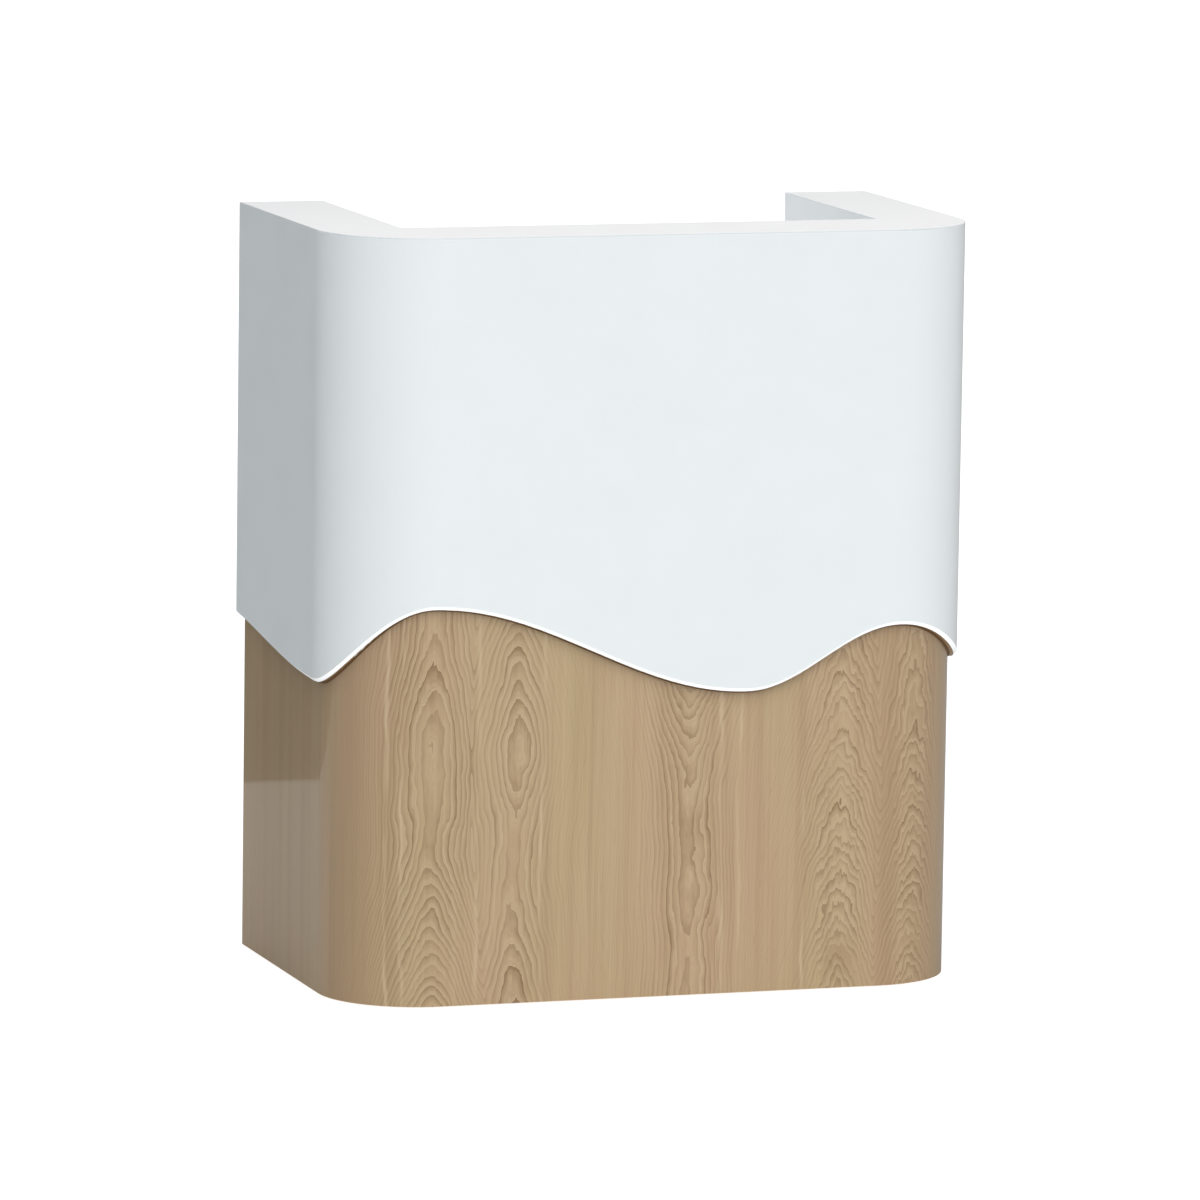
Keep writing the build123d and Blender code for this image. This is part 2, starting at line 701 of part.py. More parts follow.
def pull(x, z, turned=False):
    """A bar pull on the fronts' plane; turned stands it upright."""
    length, depth, height = PULL_BAR
    bar = Pos(0, PULL_STAND + depth / 2, 0) * Box(length, depth, height)
    bar = fillet(bar.edges(), PULL_ROUND)
    handle = bar
    for dx in (-PULL_PITCH / 2, PULL_PITCH / 2):
        handle += along_y(dx, 0, PULL_POST_R, (0, PULL_STAND + depth / 2))
    for dx in (-PULL_PITCH / 2, PULL_PITCH / 2):
        handle -= along_y(dx, 0, SCREW_R + SLIP / 2, (-OVERCUT, SCREW_BITE + OVERCUT))
    return Pos(x, FRONT_Y + GLUE, z) * Rot(0, 90 if turned else 0, 0) * handle


def pull_screws(places, board_back):
    """Screws through a board into a pull's posts, with pan heads behind the board."""
    screws = []
    for x, z in places:
        shank = along_y(x, z, SCREW_R, (board_back - GLUE, FRONT_Y + SCREW_BITE))
        head = along_y(x, z, SCREW_HEAD_R, (board_back - SCREW_HEAD_T, board_back - GLUE))
        head = fillet(head.edges().sort_by(Axis.Y)[:1], SCREW_HEAD_T / 3)
        screws.append(shank + head)
    return Compound(screws)


def lock_hole(x, z):
    return along_y(x, z, LOCK_R + SLIP, (FRONT_BACK - OVERCUT, FRONT_Y + OVERCUT))


def lock_body(x, z):
    body = along_y(x, z, LOCK_R, (FRONT_BACK - LOCK_BEHIND, FRONT_Y + GLUE))
    flange = along_y(x, z, LOCK_FLANGE_R, (FRONT_Y + GLUE, FRONT_Y + LOCK_FLANGE_T))
    flange = fillet(flange.edges().sort_by(Axis.Y)[-1:], LOCK_FLANGE_T / 3)
    bore = along_y(x, z, PLUG_R + RUNNING, (LOCK_END, FRONT_Y + 2 * LOCK_FLANGE_T))
    return body + flange - bore


def lock_plug(x, z):
    """The part that the key turns, with its key slot."""
    face = FRONT_Y + LOCK_FLANGE_T + PLUG_PROUD
    neck = FRONT_BACK - PLUG_BEHIND
    plug = along_y(x, z, PLUG_R, (neck, face))
    plug += along_y(x, z, PLUG_R / 2, (LOCK_END - CAM_T, neck))
    width, height, depth = KEY_SLOT
    slot = Box(width, depth + OVERCUT, height)
    return plug - Pos(x, face + (OVERCUT - depth) / 2, z) * slot


def lock_cam(x, z, side):
    """The cam, level and pointing away from the opening's middle when unlocked."""
    y = (LOCK_END, LOCK_END + CAM_T)
    arm = block((x, x + side * (CAM_L - CAM_W / 2)), y, (z - CAM_W / 2, z + CAM_W / 2))
    arm += along_y(x, z, CAM_W / 2, y)
    arm += along_y(x + side * (CAM_L - CAM_W / 2), z, CAM_W / 2, y)
    return arm - along_y(x, z, PLUG_R / 2 + GLUE, (y[0] - OVERCUT, y[1] + OVERCUT))


# ------------------------------------------------------------------------ assembly
def counter():
    """Every piece of the counter, by node name."""
    nodes = {
        "white_shell": white_shell(),
        "wood_skin": bent_wall(SHELL_T, SKIN_T, (BASE, LEDGE_Z)),
        "top_ledge": ledge(),
        "base_former": former(BASE),
        "rib_formers": Compound([former(z) for z in FORMER_Z]),
        "front_liner": front_liner(),
        "worktop": worktop(),
        "worktop_cleats": worktop_cleats(),
        "cleat_screws": cleat_screws(),
        "cupboard_floor": cupboard_floor(),
        "cupboard_rail": rail(),
        "drawer_divider": divider(),
        "kick_board": kick_board(),
        "shelf": shelf(),
        "shelf_pegs": shelf_pegs(),
        "grommet_ring": grommet_ring(),
        "grommet_cap": grommet_cap(),
        "base_glides": base_glides(),
        "runner_outers": Compound(runner_pair(-1, 0) + runner_pair(1, 0)),
        "hinge_fixed_leaves": Compound(hinge_leaves(-1, False) + hinge_leaves(1, False)),
        "hinge_pins": Compound(hinge_pins()),
        "door_catches": Compound([catch(-1), catch(1)]),
    }
    for name, side in SIDES.items():
        nodes[f"{name}_liner"] = side_liner(side)
        nodes[f"{name}_end_panel"] = end_panel(side)
        nodes[f"{name}_drawer_front"] = drawer_front(side)
        for board, solid in drawer_boards(side).items():
            nodes[f"{name}_drawer_{board}"] = solid
        nodes[f"{name}_drawer_bottom"] = drawer_bottom_space(side, 0)
        nodes[f"{name}_runner_middles"] = Compound(runner_pair(side, 1))
        nodes[f"{name}_runner_inners"] = Compound(runner_pair(side, 2))
        middle = drawer_middle(side)
        nodes[f"{name}_drawer_pull"] = pull(middle, pull_z())
        nodes[f"{name}_drawer_screws"] = pull_screws(
            [(middle - PULL_PITCH / 2, pull_z()), (middle + PULL_PITCH / 2, pull_z())],
            FRONT_BACK - DRAWER_SIDE_T,
        )
        nodes[f"{name}_door"] = door(side)
        nodes[f"{name}_door_hinge_leaves"] = Compound(hinge_leaves(side, True))
        nodes[f"{name}_door_strike"] = strike(side)
        x, z = door_pull_x(side), door_pull_z()
        nodes[f"{name}_door_pull"] = pull(x, z, turned=True)
        nodes[f"{name}_door_screws"] = pull_screws(
            [(x, z - PULL_PITCH / 2), (x, z + PULL_PITCH / 2)], FRONT_BACK
        )
    locks = {
        "drawer": (drawer_middle(-1), DRAWER_LOCK_Z, -1),
        "door": (door_lock_x(), DOOR_LOCK_Z, 1),
    }
    for name, (x, z, side) in locks.items():
        nodes[f"{name}_lock_body"] = lock_body(x, z)
        nodes[f"{name}_lock_plug"] = lock_plug(x, z)
        nodes[f"{name}_lock_cam"] = lock_cam(x, z, side)
    return nodes


os.makedirs("parts", exist_ok=True)
for node, shape in counter().items():
    export_step(shape, f"parts/{node}.step")
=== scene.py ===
"""Looks for the checkout counter: materials, a bead of sealant, light, floor and camera.

All in metres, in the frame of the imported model: the customer's side faces -Y, the staff's
side faces +Y, and the counter stands on z = 0.
"""

import json
import math

import bpy
from mathutils import Matrix, Vector


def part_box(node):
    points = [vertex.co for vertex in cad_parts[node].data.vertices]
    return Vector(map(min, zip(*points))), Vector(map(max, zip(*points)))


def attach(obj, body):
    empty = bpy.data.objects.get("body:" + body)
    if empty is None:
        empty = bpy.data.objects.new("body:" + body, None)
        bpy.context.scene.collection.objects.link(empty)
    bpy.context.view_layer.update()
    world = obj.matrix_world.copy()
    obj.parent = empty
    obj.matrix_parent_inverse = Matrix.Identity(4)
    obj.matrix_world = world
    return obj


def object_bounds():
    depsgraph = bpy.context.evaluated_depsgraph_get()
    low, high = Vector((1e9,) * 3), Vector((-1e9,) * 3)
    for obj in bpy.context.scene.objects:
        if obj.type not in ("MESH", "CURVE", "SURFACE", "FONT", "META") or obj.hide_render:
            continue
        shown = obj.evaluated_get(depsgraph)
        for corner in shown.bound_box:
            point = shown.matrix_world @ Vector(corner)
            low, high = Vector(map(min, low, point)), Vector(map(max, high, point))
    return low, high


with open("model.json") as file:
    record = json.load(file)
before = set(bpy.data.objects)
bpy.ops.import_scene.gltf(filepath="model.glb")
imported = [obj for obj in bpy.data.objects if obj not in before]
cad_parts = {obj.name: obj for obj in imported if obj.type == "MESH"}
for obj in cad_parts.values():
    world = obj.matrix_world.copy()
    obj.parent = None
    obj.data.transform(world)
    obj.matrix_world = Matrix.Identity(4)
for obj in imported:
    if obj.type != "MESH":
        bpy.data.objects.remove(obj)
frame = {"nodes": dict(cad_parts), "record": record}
cad_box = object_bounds()

# ------------------------------------------------------------------------- the view
VIEW_AZIMUTH = -18.30       # degrees round from straight in front, towards -X
VIEW_ELEVATION = 8.26
VIEW_ROLL = 0.825
VIEW_DISTANCE = 11.44
VIEW_LENS = 260.0           # mm, on a sensor 36 mm wide
VIEW_AIM = (-0.0120, -0.0105)   # aimed-at point from the counter's middle, right and up


def make_camera():
    azimuth, elevation, roll = map(math.radians, (VIEW_AZIMUTH, VIEW_ELEVATION, VIEW_ROLL))
    back = Vector((
        math.sin(azimuth) * math.cos(elevation),
        -math.cos(azimuth) * math.cos(elevation),
        math.sin(elevation),
    ))
    level = Vector((0, 0, 1)).cross(back).normalized()
    above = back.cross(level)
    right = level * math.cos(roll) + above * math.sin(roll)
    up = above * math.cos(roll) - level * math.sin(roll)
    low, high = cad_box
    middle = Vector((0, 0, (low.z + high.z) / 2))
    place = middle + right * VIEW_AIM[0] + up * VIEW_AIM[1] + back * VIEW_DISTANCE
    data = bpy.data.cameras.new("camera")
    data.sensor_width = 36.0
    data.lens = VIEW_LENS
    data.clip_end = 200.0
    camera = bpy.data.objects.new("camera", data)
    turn = Matrix((right, up, back)).transposed()
    camera.matrix_world = Matrix.Translation(place) @ turn.to_4x4()
    bpy.context.collection.objects.link(camera)
    bpy.context.scene.camera = camera


# ------------------------------------------------------------- node-building helpers
class Shader:
    """A node tree under construction.  A value is a number, a tuple or a socket."""

    def __init__(self, tree):
        self.tree = tree
        tree.nodes.clear()

    def node(self, kind, inputs=(), **settings):
        made = self.tree.nodes.new(kind)
        for name, value in settings.items():
            setattr(made, name, value)
        for name, value in dict(inputs).items():
            self.put(made.inputs[name], value)
        return made

    def put(self, socket, value):
        if isinstance(value, bpy.types.NodeSocket):
            self.tree.links.new(value, socket)
        elif isinstance(value, tuple) and len(value) == 3 and socket.type == "RGBA":
            socket.default_value = (*value, 1.0)
        else:
            socket.default_value = value

    def math(self, operation, a, b=0.0, c=0.0, clamp=False):
        inputs = {0: a, 1: b, 2: c}
        made = self.node("ShaderNodeMath", operation=operation, use_clamp=clamp)
        for index, value in inputs.items():
            self.put(made.inputs[index], value)
        return made.outputs[0]

    def add(self, *terms):
        total = terms[0]
        for term in terms[1:]:
            total = self.math("ADD", total, term)
        return total

    def times(self, a, b):
        return self.math("MULTIPLY", a, b)

    def place(self):
        """Object coordinates, which are the counter's own frame at rest."""
        return self.node("ShaderNodeTexCoord").outputs["Object"]

    def split(self, vector):
        made = self.node("ShaderNodeSeparateXYZ", {0: vector})
        return made.outputs[0], made.outputs[1], made.outputs[2]

    def join(self, x, y, z):
        return self.node("ShaderNodeCombineXYZ", {0: x, 1: y, 2: z}).outputs[0]

    def stretched(self, vector, factors):
        made = self.node("ShaderNodeVectorMath", operation="MULTIPLY")
        self.put(made.inputs[0], vector)
        self.put(made.inputs[1], factors)
        return made.outputs[0]

    def noise(self, vector, scale=1.0, detail=2.0, roughness=0.5):
        """Noise from about 0 to 1."""
        inputs = {"Vector": vector, "Scale": scale, "Detail": detail, "Roughness": roughness}
        return self.node("ShaderNodeTexNoise", inputs).outputs[0]

    def span(self, value, low, high, to_low=0.0, to_high=1.0):
        """value taken from the range low..high to the range to_low..to_high, clamped."""
        inputs = {0: value, 1: low, 2: high, 3: to_low, 4: to_high}
        return self.node("ShaderNodeMapRange", inputs).outputs[0]

    def curve(self, value, points):
        """A smooth curve through (value, result) points, level beyond its ends."""
        made = self.node("ShaderNodeFloatCurve", {"Value": value})
        made.mapping.use_clip = False
        line = made.mapping.curves[0]
        while len(line.points) < len(points):
            line.points.new(0.5, 0.5)
        for point, place in zip(line.points, points):
            point.location = place
        made.mapping.extend = "HORIZONTAL"
        made.mapping.update()
        return made.outputs[0]

    def hill(self, value, width):
        """1 where value is 0, falling away to 0 over about this width on both sides."""
        share = self.times(value, 1 / width)
        return self.math("EXPONENT", self.math("MULTIPLY", self.times(share, share), -1.0))

    def blend(self, factor, a, b):
        made = self.node("ShaderNodeMix", data_type="RGBA")
        self.put(made.inputs[0], factor)
        self.put(made.inputs[6], a)
        self.put(made.inputs[7], b)
        return made.outputs[2]

    def emission(self, tone, strength=1.0):
        return self.node("ShaderNodeEmission", {"Color": tone, "Strength": strength}).outputs[0]

    def diffuse(self, tone):
        return self.node("ShaderNodeBsdfDiffuse", {"Color": tone}).outputs[0]

    def either(self, choice, no, yes):
        """One shader or the other."""
        return self.node("ShaderNodeMixShader", {0: choice, 1: no, 2: yes}).outputs[0]

    def up(self):
        """Height of the surface's own normal: 1 on level tops, -1 on undersides."""
        return self.split(self.node("ShaderNodeNewGeometry").outputs["True Normal"])[2]

    def bump(self, height, strength, distance, normal=None):
        inputs = {"Height": height, "Strength": strength, "Distance": distance}
        if normal is not None:
            inputs["Normal"] = normal
        return self.node("ShaderNodeBump", inputs).outputs[0]


def srgb(*levels):
    """A colour from its 0..255 display levels."""
    return tuple(
        c / 12.92 if c <= 0.04045 else ((c + 0.055) / 1.055) ** 2.4
        for c in (level / 255 for level in levels)
    )


def surface_material(name, surface_of):
    """A material whose surface is the shader socket that surface_of(shader) returns."""
    made = bpy.data.materials.new(name)
    made.use_nodes = True
    shader = Shader(made.node_tree)
    shader.node("ShaderNodeOutputMaterial", {"Surface": surface_of(shader)})
    return made


def material(name, inputs_of):
    """A material whose Principled shader gets the inputs that inputs_of(shader) returns."""
    def surface_of(shader):
        return shader.node("ShaderNodeBsdfPrincipled", inputs_of(shader)).outputs[0]
    return surface_material(name, surface_of)


# --------------------------------------------------------------------------- veneer
WOOD_LIGHT = srgb(207, 182, 147)
WOOD_MID = srgb(181, 153, 115)
WOOD_DARK = srgb(127, 95, 60)
WOOD_PINK, WOOD_YELLOW = srgb(188, 152, 121), srgb(180, 157, 115)   # broad changes of tone
BAND_LIGHT, BAND_DARK = srgb(196, 171, 134), srgb(160, 129, 95)     # and narrower ones
# the tone of real darker places of the veneer, also used for painted shade down its sides
SPOT_AND_SHADE_TONE = srgb(146, 112, 76)
PALE_LINE_TONE = srgb(216, 192, 157)
PORE_TONE = srgb(132, 100, 68)

WOOD_RADIUS = 0.126         # the skin's rounded corners
RING = 0.0130               # a growth ring's width close to a heart line
RING_FADE = 0.080           # at half this distance from it the rings are half as wide
HEART_ROUNDING = 0.008      # how broad the arches' tops are
HEARTS_MERGE = 1.5          # rings over which two hearts' arches run into each other
HEART_EDGE = (1.5, 0.5)     # shares of a heart's reach where its rings fade in and are full

# Noise over the sheet: cells per metre along it and up it, and detail.
WOOD_NOISE = {
    "sway": (5.0, 4.0, 1.0),
    "waver": (34.0, 17.0, 1.0),
    "swell": (18.0, 9.0, 1.0),
    "feather": (80.0, 34.0, 1.0),
    "strokes": (300.0, 24.0, 1.0),
    "patches": (12.0, 5.0, 2.0),
    "streaks": (320.0, 4.0, 3.0),
    "pores": (1300.0, 30.0, 2.0),
    "bands": (34.0, 0.9, 2.0),
    "shade": (7.0, 1.6, 1.0),
    "length": (60.0, 7.0, 1.0),
}
SWAY, WAVER = 0.008, 0.005  # metres by which the grain wanders in long and short sweeps
SWELL = 1.2                 # rings by which the arches bulge
FEATHER, STROKES = 0.95, 0.36   # rings by which their lines are torn and broken up

# Heart lines of the crown-cut veneer, from left to right as seen from the front: distance
# along the skin from the middle of the front, how far to either side the rings show
# strongly, and how many rings have been crossed at which height, both rising and
# falling: (height, rings).
HEARTS = (
    (-0.960, 0.060, ((0.0, 0.0), (1.0, 6.0))),
    (-0.315, 0.062, ((0.0, -11.5), (0.06, -7.6), (0.12, -3.8), (0.18, -0.9), (0.22, 0.1),
                     (0.27, -0.2), (0.34, -0.3), (0.40, 0.9), (0.45, 2.4), (0.50, 3.4))),
    (-0.202, 0.036, ((0.0, -4.0), (0.05, -2.7), (0.09, -1.6), (0.13, -0.6), (0.19, 0.3),
                     (0.25, -0.5), (0.30, -1.9), (0.337, -2.55), (0.37, -1.9),
                     (0.40, -0.6), (0.45, 1.8), (0.55, 7.0))),
    (0.034, 0.050, ((0.0, 0.2), (0.06, 0.6), (0.13, -0.4), (0.19, 0.1), (0.24, -0.1),
                    (0.30, -1.0), (0.34, -2.4), (0.37, -3.8), (0.45, -8.0))),
    (0.243, 0.042, ((0.0, -11.0), (0.10, -5.5), (0.20, 0.0), (0.30, 5.7), (0.40, 11.2),
                    (0.50, 16.0))),
    (0.350, 0.036, ((0.0, -12.0), (0.10, -6.0), (0.20, 0.0), (0.30, 6.0), (0.34, 8.0),
                    (0.50, 12.0))),
    (0.660, 0.055, ((0.0, -9.0), (0.20, 0.0), (0.30, 5.0), (0.42, 7.0), (0.60, 16.0))),
    (0.960, 0.060, ((0.0, 0.0), (1.0, 6.0))),
)
CURVE_REACH = 1.0           # metres of height that a heart line's curve covers
CURVE_RINGS = 40.0          # rings that it can count, half of them below zero

# Pale lines that follow the grain up the whole height and come and go: along, half width.
PALE_LINES = (
    (-0.374, 0.0022), (-0.354, 0.0018), (-0.252, 0.0032), (-0.166, 0.0022),
    (0.078, 0.0028), (0.104, 0.0022), (0.192, 0.0022),
)

# Darker places of the veneer, and painted shade: the last three rows, which run the full
# height, darken the skin round its two front corners and down its left side.
# Columns: along, height, half width, half height, amount.
SPOTS_AND_SIDE_SHADE = (
    (-0.317, 0.410, 0.009, 0.018, 0.50),
    (-0.200, 0.020, 0.016, 0.034, 0.50),
    (0.045, 0.225, 0.014, 0.030, 0.25),
    (0.246, 0.040, 0.018, 0.030, 0.40),
    (-0.273, 0.240, 0.014, 0.160, 0.16),
    (0.310, 0.200, 0.018, 2.000, 0.14),
    (-0.430, 0.200, 0.055, 2.000, 0.36),
    (-0.680, 0.200, 0.220, 2.000, 0.34),
    (0.425, 0.200, 0.090, 2.000, 0.42),
)


def unrolled(shader):
    """Distance along the bent skin from the middle of the front, and height."""
    x, y, z = shader.split(shader.place())
    low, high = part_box("wood_skin")
    corner_x = high.x - WOOD_RADIUS
    corner_y = low.y + WOOD_RADIUS
    out = shader.math("ABSOLUTE", x)
    across = shader.math("MAXIMUM", shader.math("SUBTRACT", out, corner_x), 0.0)
    ahead = shader.math("MAXIMUM", shader.math("SUBTRACT", corner_y, y), 0.0)
    behind = shader.math("MAXIMUM", shader.math("SUBTRACT", y, corner_y), 0.0)
    turn = shader.times(shader.math("ARCTAN2", across, ahead), WOOD_RADIUS)
    along = shader.add(shader.math("MINIMUM", out, corner_x), turn, behind)
    return shader.times(shader.math("SIGN", x), along), z


def growth_rings(shader, along, z):
    """Number of rings crossed at this place of the veneer, and how strongly they show."""
    rings = shown = None
    for heart, reach, heights in HEARTS:
        off = shader.math("ABSOLUTE", shader.math("SUBTRACT", along, heart))
        squared = shader.times(off, off)
        round_off = shader.math("SQRT", shader.add(squared, HEART_ROUNDING**2))
        count = shader.add(round_off, shader.times(squared, 1 / RING_FADE))
        points = [(h / CURVE_REACH, n / CURVE_RINGS + 0.5) for h, n in heights]
        rise = shader.curve(shader.times(z, 1 / CURVE_REACH), points)
        rise = shader.math("MULTIPLY_ADD", rise, CURVE_RINGS, -CURVE_RINGS / 2)
        count = shader.add(shader.times(count, 1 / RING), rise)
        near = shader.span(off, reach * HEART_EDGE[0], reach * HEART_EDGE[1])
        if rings is None:
            rings, shown = count, near
        else:
            rings = shader.math("SMOOTH_MIN", rings, count, HEARTS_MERGE)
            shown = shader.math("MAXIMUM", shown, near)
    return rings, shown


class Veneer:
    """The veneer's pattern, worked out once from the place on the sheet."""

    def __init__(self, shader):
        self.shader = shader
        self.along, self.z = unrolled(shader)
        self.sheet = shader.join(self.along, self.z, 0.0)
        sway = self.wander("sway", SWAY)
        waver = self.wander("waver", WAVER)
        self.swayed = shader.add(self.along, sway, waver)
        self.streaks = self.field("streaks")
        self.pore = shader.span(self.field("pores"), 0.60, 0.72)

    def field(self, name):
        """Noise from about 0 to 1."""
        along, up, detail = WOOD_NOISE[name]
        return self.shader.noise(
            self.shader.stretched(self.sheet, (along, up, 1.0)), detail=detail
        )

    def wander(self, name, size):
        """Noise from about -size to +size."""
        return self.shader.math("MULTIPLY_ADD", self.field(name), 2 * size, -size)

    def lines(self):
        """How much pale early wood, fine line and dark late wood shows here."""
        shader = self.shader
        rings, close = growth_rings(shader, self.swayed, self.z)
        torn = shader.add(self.wander("feather", FEATHER), self.wander("strokes", STROKES))
        torn = shader.times(torn, shader.span(self.along, 0.0, 0.2, 0.45, 1.0))
        rings = shader.add(rings, self.wander("swell", SWELL), shader.times(torn, close))
        phase = shader.math("FRACT", rings)
        late = shader.math("POWER", phase, 3.0)
        early = shader.math("POWER", shader.math("SUBTRACT", 1.0, phase), 2.4)
        fine_phase = shader.math("FRACT", shader.math("MULTIPLY_ADD", rings, 3.0, 0.4))
        fine = shader.math("POWER", fine_phase, 3.0)
        ring_number = shader.times(shader.math("FLOOR", rings), 0.71)
        each = shader.noise(shader.join(ring_number, 0.0, 0.0), detail=0.0)
        patchy = shader.times(self.field("patches"), 0.8)
        weight = shader.span(shader.add(each, patchy), 0.65, 1.10, 0.15, 1.0)
        weight = shader.times(weight, shader.math("MULTIPLY_ADD", close, 0.78, 0.22))
        return [shader.times(line, weight) for line in (early, fine, late)]

    def ground(self):
        """The colour between the lines."""
        shader = self.shader
        bands = self.field("bands")
        colour = shader.blend(
            shader.span(self.field("shade"), 0.3, 0.7), WOOD_PINK, WOOD_YELLOW
        )
        colour = shader.blend(shader.span(bands, 0.42, 0.70, 0.0, 0.55), colour, BAND_LIGHT)
        colour = shader.blend(shader.span(bands, 0.50, 0.28, 0.0, 0.55), colour, BAND_DARK)
        tone = shader.blend(shader.span(self.streaks, 0.30, 0.70), WOOD_MID, WOOD_LIGHT)
        colour = shader.blend(0.30, colour, tone)
        # the full-height rows of this table are painted shade
        for along, height, half_width, half_height, amount in SPOTS_AND_SIDE_SHADE:
            across = shader.hill(shader.math("SUBTRACT", self.along, along), half_width)
            up = shader.hill(shader.math("SUBTRACT", self.z, height), half_height)
            share = shader.times(shader.times(across, up), amount)
            colour = shader.blend(share, colour, SPOT_AND_SHADE_TONE)
        return colour

    def with_pale_lines(self, colour):
        shader = self.shader
        shown = shader.span(self.field("length"), 0.42, 0.62, 0.05, 0.50)
        for along, half_width in PALE_LINES:
            line = shader.hill(shader.math("SUBTRACT", self.swayed, along), half_width)
            colour = shader.blend(shader.times(line, shown), colour, PALE_LINE_TONE)
        return colour


def ash_veneer(shader):
    """Crown-cut veneer: nested arches along the heart lines, straight grain between."""
    veneer = Veneer(shader)
    early, fine, late = veneer.lines()
    colour = veneer.ground()
    colour = shader.blend(shader.times(early, 0.75), colour, WOOD_LIGHT)
    colour = shader.blend(shader.times(fine, 0.25), colour, WOOD_DARK)
    colour = shader.blend(shader.times(late, 0.85), colour, WOOD_DARK)
    colour = veneer.with_pale_lines(colour)
    colour = shader.blend(shader.times(veneer.pore, 0.16), colour, PORE_TONE)
    relief = shader.add(
        shader.times(veneer.streaks, 0.4), shader.times(veneer.pore, -0.6)
    )
    return {
        "Base Color": colour,
        "Roughness": shader.span(veneer.streaks, 0.2, 0.8, 0.42, 0.55),
        "Normal": shader.bump(relief, 0.10, 0.0003),
        "Coat Weight": 1.0,
        "Coat Roughness": 0.06,
        "Coat IOR": 1.5,
    }


# ----------------------------------------------------------------- the other materials
LACQUER, LACQUER_CLOUD = srgb(237, 240, 240), srgb(238, 241, 241)
# painted shade: the slightly darker, warmer white given to level tops
LACQUER_TOP_SHADE = srgb(232, 231, 230)
# painted shade: the greyer white given to rounded upper edges, damping their highlight
LACQUER_EDGE_SHADE = srgb(206, 209, 210)
# painted highlight: the near-pure white of the shell's bevel
LACQUER_BEVEL_HIGHLIGHT = (0.98, 0.98, 0.98)
# painted shade: the dark brown of the shell's underside
UNDERSIDE_SHADE_BROWN = srgb(126, 100, 70)
PLY = 0.0029                # one ply's thickness


def white_lacquer(shader):
    """Sprayed satin lacquer: a faint orange peel and softly uneven gloss.  Level tops are
    painted a little darker and warmer, and rounded upper edges greyer: painted shade."""
    place = shader.place()
    peel = shader.noise(place, 420.0, detail=1.0)
    wave = shader.noise(place, 9.0, detail=1.0)
    haze = shader.noise(place, 14.0, detail=4.0, roughness=0.6)
    up = shader.up()
    level = shader.span(up, 0.97, 0.99)
    rounded = shader.times(shader.span(up, 0.10, 0.30), shader.span(up, 0.99, 0.97))
    colour = shader.blend(shader.span(haze, 0.35, 0.65), LACQUER, LACQUER_CLOUD)
    # painted shade: level tops are made darker and warmer
    colour = shader.blend(level, colour, LACQUER_TOP_SHADE)
    # painted shade: rounded upper edges are made greyer, damping their highlight
    colour = shader.blend(rounded, colour, LACQUER_EDGE_SHADE)
    normal = shader.bump(wave, 0.03, 0.002)
    return {
        "Base Color": colour,
        "Roughness": shader.span(haze, 0.3, 0.7, 0.30, 0.38),
        "Normal": shader.bump(peel, 0.06, 0.0004, normal),
        "Coat Weight": 0.25,
        "Coat Roughness": 0.18,
    }


def shell_lacquer(shader):
    """The lacquer on the shell, with a painted highlight on the wave's bevel, which is made
    nearly pure white, and painted shade on the underside, which is made dark brown.
    """
    inputs = white_lacquer(shader)
    down = shader.times(shader.up(), -1.0)
    bevel = shader.span(down, 0.35, 0.5)
    underside = shader.span(down, 0.73, 0.76)
    # painted highlight: the bevel is made nearly pure white
    colour = shader.blend(bevel, inputs["Base Color"], LACQUER_BEVEL_HIGHLIGHT)
    # painted shade: the underside is made dark brown, so it throws less light onto the veneer
    # below
    inputs["Base Color"] = shader.blend(underside, colour, UNDERSIDE_SHADE_BROWN)
    return inputs


def white_board(shader):
    """Melamine face with a fine pearl texture and a trace of use."""
    place = shader.place()
    pearl = shader.noise(place, 900.0, detail=2.0)
    rub = shader.noise(shader.stretched(place, (3.0, 14.0, 3.0)), 4.0, detail=4.0)
    colour = shader.blend(
        shader.span(rub, 0.35, 0.75), srgb(232, 233, 231), srgb(225, 226, 224)
    )
    return {
        "Base Color": colour,
        "Roughness": shader.span(rub, 0.3, 0.7, 0.36, 0.50),
        "Normal": shader.bump(pearl, 0.18, 0.0004),
    }


def plywood(thickness_axis):
    """Birch plywood whose plies are stacked along this axis and show on its edges."""
    def build(shader):
        place = shader.place()
        axes = shader.split(place)
        across = axes[thickness_axis]
        normals = shader.split(shader.node("ShaderNodeNewGeometry").outputs["True Normal"])
        face = shader.span(shader.math("ABSOLUTE", normals[thickness_axis]), 0.5, 0.9)
        ply = shader.math("FRACT", shader.times(across, 1 / PLY))
        ply = shader.span(shader.math("ABSOLUTE", shader.math("SUBTRACT", ply, 0.5)), 0.2, 0.3)
        cells = ((60.0, 4.0, 90.0), (4.0, 60.0, 90.0), (90.0, 4.0, 60.0))[thickness_axis]
        grain = shader.noise(shader.stretched(place, cells), detail=4.0)
        fleck = shader.noise(shader.stretched(place, (500.0, 500.0, 500.0)), detail=2.0)
        board = shader.blend(
            shader.span(grain, 0.3, 0.7), srgb(214, 186, 146), srgb(228, 205, 170)
        )
        edge = shader.blend(ply, srgb(205, 172, 128), srgb(164, 124, 84))
        edge = shader.blend(shader.span(fleck, 0.45, 0.75, 0, 0.4), edge, srgb(120, 86, 56))
        return {
            "Base Color": shader.blend(face, edge, board),
            "Roughness": shader.span(grain, 0.3, 0.7, 0.45, 0.6),
            "Normal": shader.bump(shader.add(grain, fleck), 0.12, 0.0003),
        }
    return build


